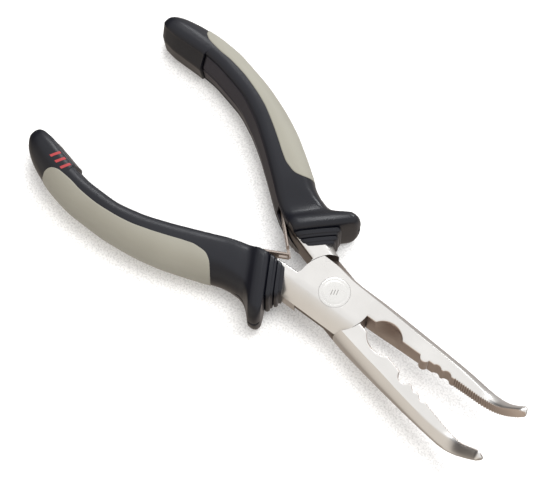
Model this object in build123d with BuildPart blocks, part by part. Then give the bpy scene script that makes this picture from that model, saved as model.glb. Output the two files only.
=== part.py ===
from build123d import *

import os
from math import cos, hypot, radians, sin

# Long-nose fishing pliers with a lap joint, bent jaws, leaf-spring return and overmoulded grips.
# The origin is on the pivot axis at the flat underside of the joint, +X runs forward midway
# between the jaws and +Z is up. Each half is drawn in its own half frame, whose X axis is that
# half's gripping line, and stands turned by half of the rest opening. The upper half has its lap
# on top, its jaw on +Y and its grip on -Y; the lower half is its mirror image with the lap below.

# Driving dimensions, in millimetres and degrees.
REST_OPENING = 14.4            # angle between the jaws with the springs relaxed
JOINT_THICK = 10.0
LAP_RADIUS = 12.0
LAP_GAP = 0.15                 # radial room round each lap
FACE_GAP = 0.06                # running gap between the two lap faces
GRIP_LINE_GAP = 0.05           # each jaw stops this far short of the gripping line
RIVET_RADIUS = 3.0
RIVET_HEAD_RADIUS = 4.8
RIVET_HEAD_DEPTH = 1.4
RIVET_CLEARANCE = 0.04
NOSE_HEIGHT = 22.6             # top of the bent tips above the underside of the joint
GRIP_BOTTOM = -5.0
GRIP_TOP = 12.0
GRIP_WALL = 2.0                # soft skin over the hard core
GRIP_ROUND = 3.0
LEAF_THICK = 0.8
LEAF_BOTTOM = 3.0
LEAF_TOP = 7.0
LEAF_ROOT = (-31.0, -4.3)      # bend of each spring, in the half frame
LEAF_REACH = 19.0              # from the pivot to where the spring tips meet

MID_Z = JOINT_THICK / 2
FAR = 120.0                    # longer than either half, for cuts that run right through
HALVES = {"upper": 1, "lower": -1}

os.makedirs("parts", exist_ok=True)


# ---------------------------------------------------------------- half frames

def half_plane(side, height=0.0):
    turn = radians(side * REST_OPENING / 2)
    return Plane(origin=(0, 0, height), x_dir=(cos(turn), sin(turn), 0), z_dir=(0, 0, 1))


def half_side_plane(side):
    turn = radians(side * REST_OPENING / 2)
    return Plane(origin=(0, 0, 0), x_dir=(cos(turn), sin(turn), 0), z_dir=(sin(turn), -cos(turn), 0))


def half_end_plane(side, x):
    turn = radians(side * REST_OPENING / 2)
    return Plane(origin=(x * cos(turn), x * sin(turn), 0), x_dir=(-sin(turn), cos(turn), 0),
                 z_dir=(cos(turn), sin(turn), 0))


def on_side(side, points):
    return [(x, side * y) for x, y in points]


# ---------------------------------------------------------------- steel lever: jaw, lap and tang

JAW_ROOT_X = 14.9
SCOOP_END_X = 24.8
SCOOP_DEPTH = 2.6
CUTTER_HEIGHT = 1.6            # the straight cutting edge above the underside
TOOTH_X = 33.1
TOOTH_RADIUS = 1.5
TOOTH_INSET = 0.3
TOOTH_BOTTOM = 2.2             # clears the thinning underside of the jaw
POCKET_RADIUS = 1.9
CUTTER_DEPTH = 0.1             # how far the cutting edge stands back from the gripping line
CRIMP_HOLLOWS = [(37.8, -1.2), (41.2, -1.0)]
CRIMP_RADIUS = 1.7
SERRATION_START_X = 44.0
SERRATION_PITCH = 1.0
SERRATION_DEPTH = 0.3
JAW_END_X = 70.0
JAW_START_X = 8.0
JAW_OUTER = [(JAW_START_X, 7.7), (20.0, 7.5), (35.0, 6.4), (46.0, 5.3), (55.0, 4.2), (62.0, 3.2),
             (JAW_END_X, 2.7)]
NOSE_TOP_START = (56.0, JOINT_THICK)
NOSE_TOP_MIDDLE = (61.0, 15.2)
TIP_TOP = (65.4, NOSE_HEIGHT)
TIP_LOW = (67.9, 21.2)
JAW_UNDERSIDE = [TIP_LOW, (63.4, 11.6), (56.0, 5.2), (38.0, 2.6), (22.0, 1.0), (13.0, 0.0)]
NOSE_RUN = (1.0, 0.25)         # directions of the nose's top edge at its two ends
TIP_RUN = (0.45, 1.0)
TANG_INNER = [(-9.0, -1.4), (-22.0, -2.2), (-31.5, -5.2), (-42.0, -10.4), (-56.0, -15.6), (-70.0, -18.4),
              (-84.0, -18.2)]
TANG_OUTER = [(-84.0, -22.6), (-70.0, -23.8), (-56.0, -21.8), (-42.0, -17.4), (-30.0, -12.6),
              (-20.0, -9.9), (-9.0, -9.6)]
TANG_NECK_X = (-24.0, -27.0)   # the tang thins between these two places
TANG_LOW = 1.5
TANG_HIGH = 8.5
HEAD_LOW_Y = -9.6
HEAD_HIGH_Y = 7.7
HEAD_BEVEL_START_X = -17.0
HEAD_BEVEL_LENGTH = 29.0
HEAD_BEVEL_WIDTH = 5.2
HEAD_BEVEL_DROP = 3.0


def serrated_edge():
    teeth = int((JAW_END_X - SERRATION_START_X) / SERRATION_PITCH)
    points = []
    for tooth in range(teeth):
        x = SERRATION_START_X + tooth * SERRATION_PITCH
        points += [(x, GRIP_LINE_GAP), (x + SERRATION_PITCH / 2, GRIP_LINE_GAP + SERRATION_DEPTH)]
    return points + [(JAW_END_X, GRIP_LINE_GAP)]


def make_lever(side):
    upper = side > 0
    lap_face = MID_Z + side * FACE_GAP / 2
    with BuildPart() as lever:
        with BuildSketch(half_plane(side)):
            Circle(LAP_RADIUS)
            with Locations((0, side * (HEAD_HIGH_Y + HEAD_LOW_Y) / 2)):
                Rectangle(4 * LAP_RADIUS, HEAD_HIGH_Y - HEAD_LOW_Y, mode=Mode.INTERSECT)
            with BuildLine():
                inner = [JAW_OUTER[0], (JAW_START_X, GRIP_LINE_GAP)] + serrated_edge() + [JAW_OUTER[-1]]
                Polyline(*on_side(side, inner))
                Spline(*on_side(side, JAW_OUTER[::-1]))
            make_face()
            with BuildLine():
                Polyline(*on_side(side, TANG_INNER + TANG_OUTER), close=True)
            make_face()
        extrude(amount=NOSE_HEIGHT)
        # Side profile: thin tang, flat joint, jaw thinning forward, nose bent up.
        with BuildSketch(half_side_plane(side)):
            with BuildLine():
                Polyline(JAW_UNDERSIDE[-1], (TANG_NECK_X[0], 0), (TANG_NECK_X[1], TANG_LOW), (-FAR, TANG_LOW),
                         (-FAR, TANG_HIGH), (TANG_NECK_X[1], TANG_HIGH), (TANG_NECK_X[0], JOINT_THICK),
                         NOSE_TOP_START)
                Spline(NOSE_TOP_START, NOSE_TOP_MIDDLE, TIP_TOP, tangents=(NOSE_RUN, TIP_RUN))
                Line(TIP_TOP, TIP_LOW)
                Spline(*JAW_UNDERSIDE)
            make_face()
        extrude(amount=3 * LAP_RADIUS, both=True, mode=Mode.INTERSECT)
        # Room for the other half's lap.
        with BuildSketch(half_plane(side, 0 if upper else lap_face)):
            Circle(LAP_RADIUS + LAP_GAP)
        extrude(amount=lap_face if upper else JOINT_THICK - lap_face, mode=Mode.SUBTRACT)
        # Wide bevel along the outer side of the head, on the half's own lap face.
        face_z = JOINT_THICK if upper else 0.0
        with BuildSketch(half_end_plane(side, HEAD_BEVEL_START_X)):
            with BuildLine():
                Polyline((side * (HEAD_LOW_Y + HEAD_BEVEL_WIDTH), face_z), (side * (HEAD_LOW_Y - 2), face_z),
                         (side * HEAD_LOW_Y, face_z - side * HEAD_BEVEL_DROP), close=True)
            make_face()
        extrude(amount=HEAD_BEVEL_LENGTH, mode=Mode.SUBTRACT)
        # Hollow-ground scoop, an arc at the top face running down to the straight cutting edge.
        for height, depth in ((CUTTER_HEIGHT, CUTTER_DEPTH), (JOINT_THICK, SCOOP_DEPTH)):
            with BuildSketch(half_plane(side, height)):
                with BuildLine():
                    start, middle, end = on_side(side, [(JAW_ROOT_X, 0), ((JAW_ROOT_X + SCOOP_END_X) / 2, depth),
                                                        (SCOOP_END_X, 0)])
                    ThreePointArc(start, middle, end)
                    Polyline(end, (SCOOP_END_X, -side), (JAW_ROOT_X, -side), start)
                make_face()
        loft(mode=Mode.SUBTRACT)
        # Crimping tooth on the upper half and the pocket for it in the lower one.
        with BuildSketch(half_plane(side, TOOTH_BOTTOM if upper else 0)):
            with Locations((TOOTH_X, TOOTH_INSET)):
                Circle(TOOTH_RADIUS if upper else POCKET_RADIUS)
        extrude(amount=JOINT_THICK - TOOTH_BOTTOM if upper else JOINT_THICK,
                mode=Mode.ADD if upper else Mode.SUBTRACT)
        # Two shallow crimp hollows.
        with BuildSketch(half_plane(side)):
            with Locations(*on_side(side, CRIMP_HOLLOWS)):
                Circle(CRIMP_RADIUS)
        extrude(amount=JOINT_THICK, mode=Mode.SUBTRACT)
        # Rivet hole and the recess for its head: tight in the upper half, running in the lower.
        play = 0.0 if upper else RIVET_CLEARANCE
        with BuildSketch(half_plane(side)):
            Circle(RIVET_RADIUS + play)
        extrude(amount=JOINT_THICK, mode=Mode.SUBTRACT)
        with BuildSketch(half_plane(side, JOINT_THICK - RIVET_HEAD_DEPTH if upper else 0)):
            Circle(RIVET_HEAD_RADIUS + play)
        extrude(amount=RIVET_HEAD_DEPTH + play, mode=Mode.SUBTRACT)
        # Hole in the tang for the rivet that holds the spring.
        with BuildSketch(spring_rivet_plane(side)):
            Circle(SPRING_RIVET_RADIUS)
        extrude(amount=-SPRING_RIVET_DEPTH, mode=Mode.SUBTRACT)
    return lever.part


def make_pivot_rivet():
    with BuildPart() as rivet:
        with BuildSketch():
            Circle(RIVET_HEAD_RADIUS)
        extrude(amount=RIVET_HEAD_DEPTH)
        with BuildSketch():
            Circle(RIVET_RADIUS)
        extrude(amount=JOINT_THICK)
        with BuildSketch(Plane.XY.offset(JOINT_THICK - RIVET_HEAD_DEPTH)):
            Circle(RIVET_HEAD_RADIUS)
        extrude(amount=RIVET_HEAD_DEPTH)
    return rivet.part


# ---------------------------------------------------------------- leaf springs

SPRING_RIVET_RADIUS = 0.9
SPRING_RIVET_DEPTH = 3.0
SPRING_HEAD_RADIUS = 1.6
SPRING_HEAD_THICK = 0.5
FOOT_START = -0.3
FOOT_END = 9.0
RIVET_ALONG = 5.4
FORK_SLOT = 1.8                # height of the gap between the tines of the upper spring
TONGUE_HEIGHT = 1.0            # the lower spring's tongue passes between the tines
TIP_LENGTH = 3.2
TONGUE_OVERRUN = 0.6

foot_span = (TANG_INNER[3][0] - TANG_INNER[2][0], TANG_INNER[3][1] - TANG_INNER[2][1])
foot_run = (foot_span[0] / hypot(*foot_span), foot_span[1] / hypot(*foot_span))
foot_normal = (foot_run[1], -foot_run[0])
leaf_tip = (-LEAF_REACH * cos(radians(REST_OPENING / 2)), LEAF_REACH * sin(radians(REST_OPENING / 2)))
leaf_span = (leaf_tip[0] - LEAF_ROOT[0], leaf_tip[1] - LEAF_ROOT[1])
leaf_length = hypot(*leaf_span)
leaf_run = (leaf_span[0] / leaf_length, leaf_span[1] / leaf_length)


def on_tang(along, lift):
    """Point at a distance along the tang's spring seat and a height above it, in the half frame."""
    return (TANG_INNER[2][0] + foot_run[0] * along + foot_normal[0] * lift,
            TANG_INNER[2][1] + foot_run[1] * along + foot_normal[1] * lift)


def on_leaf(along, across):
    return (LEAF_ROOT[0] + leaf_run[0] * along - leaf_run[1] * across,
            LEAF_ROOT[1] + leaf_run[1] * along + leaf_run[0] * across)


def spring_rivet_plane(side):
    frame = half_plane(side, MID_Z)
    seat = on_tang(RIVET_ALONG, 0)
    above = on_tang(RIVET_ALONG, 1)
    origin = frame.from_local_coords(Vector(seat[0], side * seat[1], 0))
    raised = frame.from_local_coords(Vector(above[0], side * above[1], 0))
    return Plane(origin=origin, z_dir=raised - origin)


def make_spring_foot(side):
    corners = [on_tang(FOOT_START, 0), on_tang(FOOT_END, 0), on_tang(FOOT_END, LEAF_THICK),
               on_tang(FOOT_START, LEAF_THICK)]
    with BuildPart() as foot:
        with BuildSketch(half_plane(side, LEAF_BOTTOM)):
            with BuildLine():
                Polyline(*on_side(side, corners), close=True)
            make_face()
        extrude(amount=LEAF_TOP - LEAF_BOTTOM)
        with BuildSketch(spring_rivet_plane(side)):
            Circle(SPRING_RIVET_RADIUS)
        extrude(amount=2 * LEAF_THICK, mode=Mode.SUBTRACT)
    return foot.part


def make_spring_rivet(side):
    seat = spring_rivet_plane(side)
    with BuildPart() as rivet:
        with BuildSketch(seat.offset(-SPRING_RIVET_DEPTH)):
            Circle(SPRING_RIVET_RADIUS)
        extrude(amount=SPRING_RIVET_DEPTH + LEAF_THICK)
        with BuildSketch(seat.offset(LEAF_THICK)):
            Circle(SPRING_HEAD_RADIUS)
        extrude(amount=SPRING_HEAD_THICK)
    return rivet.part


def make_leaf(side):
    upper = side > 0
    half_thick = LEAF_THICK / 2
    reach = leaf_length if upper else leaf_length + TONGUE_OVERRUN
    root_high, root_back, root_low, tip_low, tip_high = on_side(side, [
        on_leaf(0, half_thick), on_leaf(-half_thick, 0), on_leaf(0, -half_thick),
        on_leaf(reach, -half_thick), on_leaf(reach, half_thick)])
    with BuildPart() as leaf:
        with BuildSketch(half_plane(side, LEAF_BOTTOM)):
            with BuildLine():
                ThreePointArc(root_high, root_back, root_low)
                Polyline(root_low, tip_low, tip_high, root_high)
            make_face()
        extrude(amount=LEAF_TOP - LEAF_BOTTOM)
        # The tip: a fork on the upper spring, a tongue on the lower one.
        bands = [(MID_Z, FORK_SLOT / 2)] if upper else [
            (MID_Z + LEAF_TOP / 2, LEAF_TOP / 2 - TONGUE_HEIGHT / 2),
            (MID_Z - LEAF_TOP / 2, LEAF_TOP / 2 - TONGUE_HEIGHT / 2)]
        cut = on_side(side, [on_leaf(leaf_length - TIP_LENGTH, -2), on_leaf(leaf_length + 2, -2),
                             on_leaf(leaf_length + 2, 2), on_leaf(leaf_length - TIP_LENGTH, 2)])
        for middle, reach_z in bands:
            with BuildSketch(half_plane(side, middle)):
                with BuildLine():
                    Polyline(*cut, close=True)
                make_face()
            extrude(amount=reach_z, both=True, mode=Mode.SUBTRACT)
    return leaf.part


# ---------------------------------------------------------------- grips

GRIP_INNER = [(-23.5, -1.4), (-35.0, -4.6), (-45.0, -8.6), (-55.0, -12.2), (-65.0, -14.5), (-75.0, -15.4),
              (-85.0, -14.6), (-95.0, -12.4), (-102.5, -11.6)]
GRIP_END = (-106.2, -15.6)
GRIP_OUTER = [(-103.0, -20.4), (-95.0, -24.2), (-85.0, -27.0), (-75.0, -27.6), (-65.0, -27.0),
              (-55.0, -25.2), (-45.0, -22.1), (-35.0, -18.0), (-23.5, -15.2)]
INLAY_EDGE = [(-94.0, -29.0), (-94.0, -24.6), (-92.3, -21.8), (-89.0, -20.8), (-80.0, -21.9),
              (-70.0, -22.0), (-60.0, -20.3), (-48.0, -15.9), (-42.5, -14.0), (-38.5, -13.9),
              (-35.0, -15.8), (-31.5, -20.0), (-31.5, -24.0)]
STRIP_X = (-87.0, -33.0)       # hard core left bare along the inner side
STRIP_Z = (0.4, 6.6)
STRIP_DEPTH = 4.0
CORE_FRONT_X = -26.0
SLOT_X = (-33.0, -12.0)        # open slot through which the spring swings
SLOT_Z = (2.4, 7.6)
SLOT_TOP_Y = 2.0
POCKET_LIFT = 1.6

# Guard: a tall flange and two collars stepping down towards the joint. Its own frame starts at
# the front inner corner, with one axis along the collars and one running back along the grip.
GUARD_CORNER = (-16.7, -2.2)
guard_out = (sin(radians(31)), -cos(radians(31)))
guard_back = (-cos(radians(31)), -sin(radians(31)))
FLANGE_TIP = [(12.5, 5.2), (16.6, 5.6), (18.7, 8.0), (17.4, 10.9), (13.0, 13.2), (10.5, 16.0)]
FLANGE_INNER = -8.0
COLLARS = [                    # front and back along the grip, outer reach, bottom and top
    (0.0, 3.0, 10.4, -1.0, 10.8),
    (2.6, 5.6, 12.6, -2.6, 11.4)]
GUARD_INNER_Y = -1.5


def on_guard(out, back):
    return (GUARD_CORNER[0] + guard_out[0] * out + guard_back[0] * back,
            GUARD_CORNER[1] + guard_out[1] * out + guard_back[1] * back)


def draw_grip_outline(side, inset=0.0):
    """The grip's outline in plan, or one inside it, drawn in the BuildLine that calls it."""
    inner = on_side(side, [(x, y - inset) for x, y in GRIP_INNER])
    outer = on_side(side, [(x, y + inset) for x, y in GRIP_OUTER])
    end = on_side(side, [(GRIP_END[0] + inset, GRIP_END[1])])[0]
    Spline(*inner)
    ThreePointArc(inner[-1], end, outer[0])
    Spline(*outer)
    Line(outer[-1], inner[0])


def make_grip_form(side):
    """The whole outside of one grip, before it is split between core, shell and inlay."""
    with BuildPart() as form:
        with BuildSketch(half_plane(side, GRIP_BOTTOM)):
            with BuildLine():
                draw_grip_outline(side)
            make_face()
        extrude(amount=GRIP_TOP - GRIP_BOTTOM)
        rims = form.faces().sort_by(Axis.Z)[0].edges() + form.faces().sort_by(Axis.Z)[-1].edges()
        chamfer(rims, length=GRIP_ROUND * 0.6)
    return form.part


def make_guard(side):
    with BuildPart() as guard:
        with BuildSketch(half_plane(side, GRIP_BOTTOM)):
            tip = on_side(side, [on_guard(out, back) for out, back in FLANGE_TIP])
            back_corner = on_side(side, [on_guard(FLANGE_INNER, FLANGE_TIP[-1][1])])[0]
            front_corner = on_side(side, [on_guard(FLANGE_INNER, FLANGE_TIP[0][1])])[0]
            with BuildLine():
                Spline(*tip)
                Polyline(tip[-1], back_corner, front_corner, tip[0])
            make_face()
        extrude(amount=GRIP_TOP - GRIP_BOTTOM)
        rims = guard.faces().sort_by(Axis.Z)[0].edges() + guard.faces().sort_by(Axis.Z)[-1].edges()
        chamfer(rims, length=1.0)
        for front, back, reach, low, high in COLLARS:
            corners = [on_guard(FLANGE_INNER, front), on_guard(reach, front), on_guard(reach, back),
                       on_guard(FLANGE_INNER, back)]
            with BuildSketch(half_plane(side, low)):
                with BuildLine():
                    Polyline(*on_side(side, corners), close=True)
                make_face()
            extrude(amount=high - low)
        with BuildSketch(half_plane(side, GRIP_BOTTOM)):
            with Locations((0, side * (GUARD_INNER_Y + FAR / 2))):
                Rectangle(2 * FAR, FAR)
        extrude(amount=GRIP_TOP - GRIP_BOTTOM, mode=Mode.SUBTRACT)
    return guard.part


def make_core_form(side):
    """The hard core as one solid body, with the bare strip standing out to the inner side."""
    with BuildPart() as form:
        with BuildSketch(half_plane(side, GRIP_BOTTOM + GRIP_WALL)):
            with BuildLine():
                draw_grip_outline(side, GRIP_WALL)
            make_face()
            with Locations((CORE_FRONT_X - FAR / 2, 0)):
                Rectangle(FAR, FAR, mode=Mode.INTERSECT)
        extrude(amount=GRIP_TOP - GRIP_BOTTOM - 2 * GRIP_WALL)
        inner = [(x, y) for x, y in GRIP_INNER if STRIP_X[0] < x < STRIP_X[1]]
        band = [(x, y + 1) for x, y in inner] + [(x, y - STRIP_DEPTH) for x, y in inner[::-1]]
        with BuildSketch(half_plane(side, STRIP_Z[0])):
            with BuildLine():
                draw_grip_outline(side)
            make_face()
            with BuildLine():
                Polyline(*on_side(side, band), close=True)
            make_face(mode=Mode.INTERSECT)
        extrude(amount=STRIP_Z[1] - STRIP_Z[0])
    return form.part


def make_spring_slot(side):
    """The open slot for the swinging leaf and the pocket over its foot."""
    pocket = [on_tang(-2, -1), on_tang(FOOT_END + 0.3, -1), on_tang(FOOT_END + 0.3, POCKET_LIFT),
              on_tang(-2, POCKET_LIFT)]
    swing = [(SLOT_X[0], SLOT_TOP_Y), (SLOT_X[0], -6.5), (-22.0, -4.0), (SLOT_X[1], -4.0),
             (SLOT_X[1], SLOT_TOP_Y)]
    with BuildPart() as slot:
        for corners in (pocket, swing):
            with BuildSketch(half_plane(side, SLOT_Z[0])):
                with BuildLine():
                    Polyline(*on_side(side, corners), close=True)
                make_face()
            extrude(amount=SLOT_Z[1] - SLOT_Z[0])
    return slot.part


def make_inlay_form(side):
    with BuildPart() as form:
        with BuildSketch(half_plane(side, GRIP_BOTTOM - 1)):
            with BuildLine():
                edge = on_side(side, INLAY_EDGE)
                Spline(*edge[1:-1])
                Polyline(edge[-2], edge[-1], (edge[-1][0], -side * FAR), (edge[0][0], -side * FAR), edge[0],
                         edge[1])
            make_face()
        extrude(amount=GRIP_TOP - GRIP_BOTTOM + 2)
    return form.part


def make_core(side, lever, slot, rivet):
    with BuildPart() as core:
        add(make_core_form(side))
        for inside in (lever, slot, rivet):
            add(inside, mode=Mode.SUBTRACT)
    return core.part


def make_inlay(side):
    with BuildPart() as inlay:
        add(make_grip_form(side))
        add(make_inlay_form(side), mode=Mode.INTERSECT)
        add(make_core_form(side), mode=Mode.SUBTRACT)
    return inlay.part


def make_shell(side, lever, slot):
    with BuildPart() as shell:
        add(make_grip_form(side))
        add(make_inlay_form(side), mode=Mode.SUBTRACT)
        add(make_guard(side))
        for inside in (make_core_form(side), lever, slot):
            add(inside, mode=Mode.SUBTRACT)
    return shell.part


# ---------------------------------------------------------------- the assembly

def write(name, piece):
    piece.label = name
    export_step(piece, f"parts/{name}.step")


write("pivot_rivet", make_pivot_rivet())
for half, side in HALVES.items():
    lever = make_lever(side)
    slot = make_spring_slot(side)
    rivet = make_spring_rivet(side)
    write(f"{half}_lever", lever)
    write(f"{half}_spring_foot", make_spring_foot(side))
    write(f"{half}_spring_rivet", rivet)
    write(f"{half}_leaf_spring", make_leaf(side))
    write(f"{half}_grip_core", make_core(side, lever, slot, rivet))
    write(f"{half}_grip_shell", make_shell(side, lever, slot))
    write(f"{half}_grip_inlay", make_inlay(side))
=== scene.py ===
from math import cos, pi, radians, sin, sqrt

import bmesh
import bpy
import numpy as np
from mathutils import Matrix, Vector


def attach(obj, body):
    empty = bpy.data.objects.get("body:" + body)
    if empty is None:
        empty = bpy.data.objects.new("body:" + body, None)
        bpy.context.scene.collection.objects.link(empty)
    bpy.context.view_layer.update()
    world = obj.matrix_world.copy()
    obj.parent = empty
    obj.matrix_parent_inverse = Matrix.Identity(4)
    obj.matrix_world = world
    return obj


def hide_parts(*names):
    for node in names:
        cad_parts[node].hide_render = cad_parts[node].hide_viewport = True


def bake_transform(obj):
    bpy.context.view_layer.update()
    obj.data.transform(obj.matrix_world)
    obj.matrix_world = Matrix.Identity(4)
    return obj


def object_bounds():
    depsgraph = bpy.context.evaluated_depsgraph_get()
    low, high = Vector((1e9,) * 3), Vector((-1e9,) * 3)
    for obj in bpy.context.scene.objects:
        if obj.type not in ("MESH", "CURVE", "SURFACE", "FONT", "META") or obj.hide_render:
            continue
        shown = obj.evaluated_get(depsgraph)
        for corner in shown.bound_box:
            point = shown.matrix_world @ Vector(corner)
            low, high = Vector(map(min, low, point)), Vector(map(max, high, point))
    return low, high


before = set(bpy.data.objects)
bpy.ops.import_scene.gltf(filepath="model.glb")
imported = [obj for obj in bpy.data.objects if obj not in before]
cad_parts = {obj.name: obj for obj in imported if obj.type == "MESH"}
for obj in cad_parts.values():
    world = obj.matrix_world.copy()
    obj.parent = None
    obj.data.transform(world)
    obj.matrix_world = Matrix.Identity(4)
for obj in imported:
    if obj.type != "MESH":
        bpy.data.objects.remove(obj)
cad_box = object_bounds()

# Lengths below are millimetres in a half frame: its X axis is that half's gripping line, +Y points to
# its own jaw and -Y to its own grip. The upper half (side 1) has its lap on top, the lower half
# (side -1) is its mirror image with the lap below. to_row() turns either one into the row frame.
MM = 0.001
HALF_OPENING = radians(7.2)
JOINT_THICK = 10.0
MID_Z = JOINT_THICK / 2
LAP_RADIUS = 12.0
LAP_GAP = 0.15
FACE_GAP = 0.03
RIVET_HEAD = 4.8
HEAD_DEPTH = 1.5
CLEAR = 1.0                              # how far a cutter stands out of the piece it cuts
UP = np.array([0.0, 0.0, 1.0])


# ---------------------------------- mesh helpers

def to_row(points, side):
    """Points of a half frame, in the row frame and in metres."""
    points = np.asarray(points, float)
    x, y, z = points[..., 0], side * points[..., 1], points[..., 2]
    turn = side * HALF_OPENING
    return MM * np.stack([x * cos(turn) - y * sin(turn), x * sin(turn) + y * cos(turn), z], axis=-1)


def smooth_table(rows, at):
    """Reads a table whose first column rises, with a monotone cubic between its rows."""
    rows = np.asarray(rows, float)
    keys, values = rows[:, 0], rows[:, 1:]
    step = np.diff(keys)[:, None]
    slope = np.diff(values, axis=0) / step
    tangent = np.zeros_like(values)
    before, after = slope[:-1], slope[1:]
    same_way = before * after > 0
    weight = np.where(same_way, before + after, 1.0)
    tangent[1:-1] = np.where(same_way, 2 * before * after / weight, 0.0)
    tangent[0], tangent[-1] = slope[0], slope[-1]
    at = np.clip(np.atleast_1d(np.asarray(at, float)), keys[0], keys[-1])
    i = np.clip(np.searchsorted(keys, at, side="right") - 1, 0, len(keys) - 2)
    t = ((at - keys[i]) / (keys[i + 1] - keys[i]))[:, None]
    h = step[i]
    return ((2 * t**3 - 3 * t**2 + 1) * values[i] + (t**3 - 2 * t**2 + t) * h * tangent[i]
            + (3 * t**2 - 2 * t**3) * values[i + 1] + (t**3 - t**2) * h * tangent[i + 1])


def smooth_step(value, low, high):
    """Rises from 0 at low to 1 at high, level at both ends."""
    t = np.clip((value - low) / (high - low), 0, 1)
    return t * t * (3 - 2 * t)


def smooth_rise(distance, edge):
    """Rises from 0 to 1 over the width of a rounded edge, along a quarter circle."""
    t = np.clip(distance / edge, 0, 1)
    return np.sqrt(1 - (1 - t) ** 2)


def places_along(runs, *single):
    """Places in rising order: steps along each run of (start, end, step), and single ones."""
    return np.unique(np.concatenate([*(np.arange(*run) for run in runs), single]).round(4))


def running_length(points):
    """Distance along a line of points, at each of them."""
    return np.concatenate([[0], np.cumsum(np.linalg.norm(np.diff(points, axis=0), axis=1))])


def spread(points, at):
    """Points along an open line, at distances from its start."""
    length = running_length(points)
    return np.stack([np.interp(at, length, points[:, k]) for k in (0, 1)], axis=-1)


def loft_faces(rings, around):
    """Faces between rings of points, each going the same way round, and one over each end."""
    faces = []
    for r in range(rings - 1):
        for k in range(around):
            n = (k + 1) % around
            faces.append((r * around + k, r * around + n, (r + 1) * around + n, (r + 1) * around + k))
    faces.append(tuple(range(around))[::-1])
    faces.append(tuple((rings - 1) * around + k for k in range(around)))
    return faces


def solid(name, rings, side, sharp=35.0):
    """A closed mesh through rings of points, given in the half frame, in the row frame."""
    rings = np.asarray(rings, float)
    count, around = rings.shape[:2]
    mesh = bpy.data.meshes.new(name)
    mesh.from_pydata(to_row(rings.reshape(-1, 3), side).tolist(), [], loft_faces(count, around))
    piece = bpy.data.objects.new(name, mesh)
    bpy.context.scene.collection.objects.link(piece)
    tidy(piece, sharp)
    return piece


WELD = 1e-6


def tidy(piece, sharp=35.0):
    """Welds doubles, drops degenerate faces, turns normals outwards and marks sharp edges."""
    shape = bmesh.new()
    shape.from_mesh(piece.data)
    bmesh.ops.remove_doubles(shape, verts=shape.verts, dist=WELD)
    bmesh.ops.dissolve_degenerate(shape, edges=shape.edges, dist=WELD)
    bmesh.ops.recalc_face_normals(shape, faces=shape.faces)
    for face in shape.faces:
        face.smooth = True
    shape.to_mesh(piece.data)
    shape.free()
    piece.data.set_sharp_from_angle(angle=radians(sharp))


def cut(piece, cutter, self_crossing=False):
    """Takes the cutter's volume out of the piece, which may cross itself if that is said."""
    change = piece.modifiers.new("cut", "BOOLEAN")
    change.operation = "DIFFERENCE"
    change.solver = "EXACT"
    change.use_self = self_crossing
    change.object = cutter
    bpy.context.view_layer.update()
    changed = piece.evaluated_get(bpy.context.evaluated_depsgraph_get())
    result = bpy.data.meshes.new_from_object(changed)
    piece.modifiers.clear()
    old = piece.data
    name = old.name
    piece.data = result
    bpy.data.meshes.remove(old)
    result.name = name
    bpy.data.objects.remove(cutter)


def circle(radius, z, count=96):
    turn = np.linspace(0, 2 * pi, count, endpoint=False)
    return np.stack([radius * np.cos(turn), radius * np.sin(turn), np.full(count, z)], axis=-1)


def cylinder(name, radius, low, high, count=96):
    """An upright cylinder on the pivot's axis."""
    return solid(name, [circle(radius, low, count), circle(radius, high, count)], 1)


def prism(name, corners, low, high, side):
    """An upright solid over an outline in plan."""
    base = np.array([[x, y, 0.0] for x, y in corners])
    return solid(name, [base + UP * low, base + UP * high], side)


def join(pieces, name):
    """One object holding the meshes of several."""
    shape = bmesh.new()
    for piece in pieces:
        shape.from_mesh(piece.data)
        bpy.data.objects.remove(piece)
    mesh = bpy.data.meshes.new(name)
    shape.to_mesh(mesh)
    shape.free()
    whole = bpy.data.objects.new(name, mesh)
    bpy.context.scene.collection.objects.link(whole)
    return whole


def finish_piece(piece, body, slot, materials, *nodes):
    """Gives a piece its materials and body, and hides the frame's nodes that it stands for. The slot is not
    used.
    """
    piece.data.materials.clear()
    for material in materials:
        piece.data.materials.append(material)
    if body:
        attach(piece, body)
    if nodes:
        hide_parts(*nodes)


# ---------------------------------- materials

def new_material(name):
    material = bpy.data.materials.new(name)
    material.use_nodes = True
    nodes = material.node_tree.nodes
    nodes.clear()
    out = nodes.new("ShaderNodeOutputMaterial")
    shader = nodes.new("ShaderNodeBsdfPrincipled")
    material.node_tree.links.new(shader.outputs["BSDF"], out.inputs["Surface"])
    return material, nodes, material.node_tree.links, shader


def noise(nodes, links, scale, detail=3.0, stretch=(1, 1, 1)):
    """Noise fixed to the piece. A stretch above 1 makes it finer along that axis."""
    place = nodes.new("ShaderNodeTexCoord")
    spread = nodes.new("ShaderNodeMapping")
    spread.inputs["Scale"].default_value = stretch
    links.new(place.outputs["Object"], spread.inputs["Vector"])
    texture = nodes.new("ShaderNodeTexNoise")
    texture.inputs["Scale"].default_value = scale
    texture.inputs["Detail"].default_value = detail
    texture.inputs["Roughness"].default_value = 0.55
    links.new(spread.outputs["Vector"], texture.inputs["Vector"])
    return texture.outputs["Fac"]


def ramp(nodes, links, source, stops):
    """Maps a 0 to 1 value to colours. A stop is (place, colour)."""
    element = nodes.new("ShaderNodeValToRGB")
    band = element.color_ramp
    while len(band.elements) < len(stops):
        band.elements.new(0.5)
    for mark, (place, colour) in zip(band.elements, stops):
        mark.position = place
        mark.color = (*colour, 1.0)
    links.new(source, element.inputs["Fac"])
    return element.outputs["Color"]


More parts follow.
